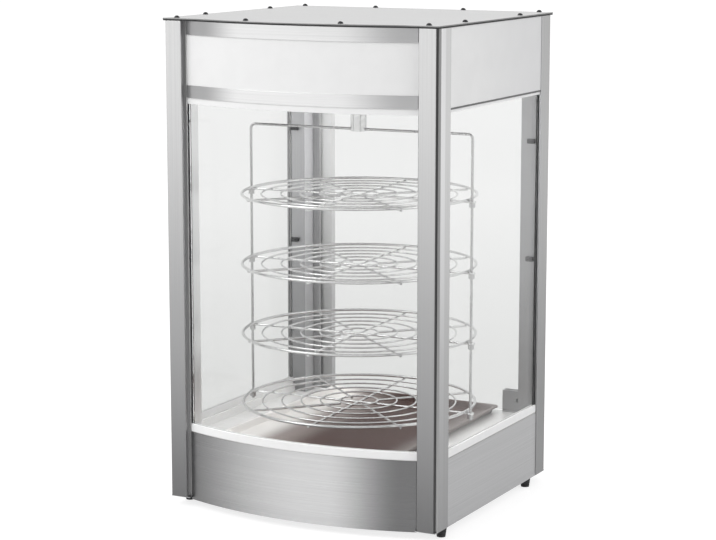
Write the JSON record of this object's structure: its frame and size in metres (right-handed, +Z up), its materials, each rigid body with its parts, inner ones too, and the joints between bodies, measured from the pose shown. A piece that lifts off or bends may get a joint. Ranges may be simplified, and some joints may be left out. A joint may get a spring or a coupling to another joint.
{
  "type": "countertop pizza warmer",
  "caption": "Heated glass display cabinet with a bowed front, a rear glass door and round wire racks that turn on a hanging frame.",
  "frame": {"origin": "on the counter, under the middle of the whole cabinet's box", "axes": "+Z up, +Y to the rear door and the controls, the bowed front faces -Y, +X to the cabinet's right seen from the front"},
  "size_m": [0.49, 0.4783, 0.809],
  "materials": {
    "satin_aluminium": "satin anodised extrusion",
    "brushed_steel": "horizontal brushed sheet",
    "polished_steel": "polished stainless sheet",
    "bright_wire": "bright plated wire",
    "white_paint": "satin white enamel",
    "light_channel": "pale anodised channel",
    "plated_steel": "dull zinc plated",
    "dark_steel": "black oxide",
    "pan_steel": "dull heat-tinted steel",
    "clear_glass": "polished float glass",
    "black_rubber": "matte",
    "black_plastic": "fine grain",
    "grey_metal": "satin grey",
    "red_plastic": "translucent, glossy",
    "amber_plastic": "translucent, glossy",
    "white_plastic": "smooth",
    "sintered_bronze": "matte, oil filled",
    "copper_bulb": "drawn copper",
    "lamp_glass": "frosted white coating"
  },
  "bodies": {
    "cabinet": {"bottom_plate": "plated_steel", "rubber_feet": "black_rubber", "hidden_screws": "plated_steel", "front_posts": "satin_aluminium", "rear_posts": "satin_aluminium", "base_front_panel": "brushed_steel", "base_side_panels": "brushed_steel", "base_rear_panel": "brushed_steel", "floor_deck": "polished_steel", "crumb_pan": "pan_steel", "lower_rails": "light_channel", "upper_rails": "light_channel", "front_glass": "clear_glass", "side_glasses": "clear_glass", "glass_seals": "black_rubber", "glass_clips": "black_plastic", "header_front_panel": "white_paint", "upper_band": "brushed_steel", "lower_band": "brushed_steel", "header_side_panels": "white_paint", "header_rear_panel": "white_paint", "ceiling_plate": "polished_steel", "top_seal": "black_rubber", "top_plate": "brushed_steel", "top_screws": "dark_steel", "lamp_tube": "lamp_glass", "lamp_holders": "white_plastic", "gear_motor": "grey_metal", "motor_plate": "plated_steel", "shaft_bush": "sintered_bronze", "hinge_brackets": "plated_steel", "magnet_catch": "white_plastic", "switch_housings": "black_plastic", "thermostat": "grey_metal", "dial_plate": "white_plastic", "pilot_lamp": "amber_plastic", "power_inlet": "black_plastic", "heating_element": "dark_steel", "element_brackets": "plated_steel", "sensor_bulb": "copper_bulb", "terminal_block": "white_plastic"},
    "carousel": {"drive_shaft": "bright_wire", "hub": "bright_wire", "hub_screw": "dark_steel", "frame_bar": "bright_wire", "frame_wires": "bright_wire", "rack_1": "bright_wire", "rack_2": "bright_wire", "rack_3": "bright_wire", "rack_4": "bright_wire"},
    "door": {"door_glass": "clear_glass", "door_grip": "satin_aluminium", "hinge_clamps": "grey_metal", "clamp_screws": "dark_steel", "strike_clip": "plated_steel"},
    "heat_switch": {"heat_rocker": "red_plastic"},
    "lamp_switch": {"lamp_rocker": "black_plastic"},
    "turn_switch": {"turn_rocker": "black_plastic"},
    "thermostat_control": {"thermostat_shaft": "plated_steel", "thermostat_knob": "black_plastic"}
  },
  "joints": [
    {"name": "carousel_turn", "type": "hinge", "parent": "cabinet", "child": "carousel", "pos_m": [0, -0.0022, 0.619], "axis": [0, 0, 1], "continuous": true},
    {"name": "door_hinge", "type": "hinge", "parent": "cabinet", "child": "door", "pos_m": [0.193, 0.2188, 0.422], "axis": [0, 0, -1], "range_deg": [0, 105]},
    {"name": "heat_press", "type": "hinge", "parent": "cabinet", "child": "heat_switch", "pos_m": [-0.07, 0.2208, 0.067], "axis": [-1, 0, 0], "range_deg": [0, 20]},
    {"name": "lamp_press", "type": "hinge", "parent": "cabinet", "child": "lamp_switch", "pos_m": [-0.034, 0.2208, 0.067], "axis": [-1, 0, 0], "range_deg": [0, 20]},
    {"name": "turn_press", "type": "hinge", "parent": "cabinet", "child": "turn_switch", "pos_m": [0.002, 0.2208, 0.067], "axis": [-1, 0, 0], "range_deg": [0, 20]},
    {"name": "thermostat_turn", "type": "hinge", "parent": "cabinet", "child": "thermostat_control", "pos_m": [0.115, 0.2218, 0.067], "axis": [0, -1, 0], "range_deg": [0, 270]}
  ]
}
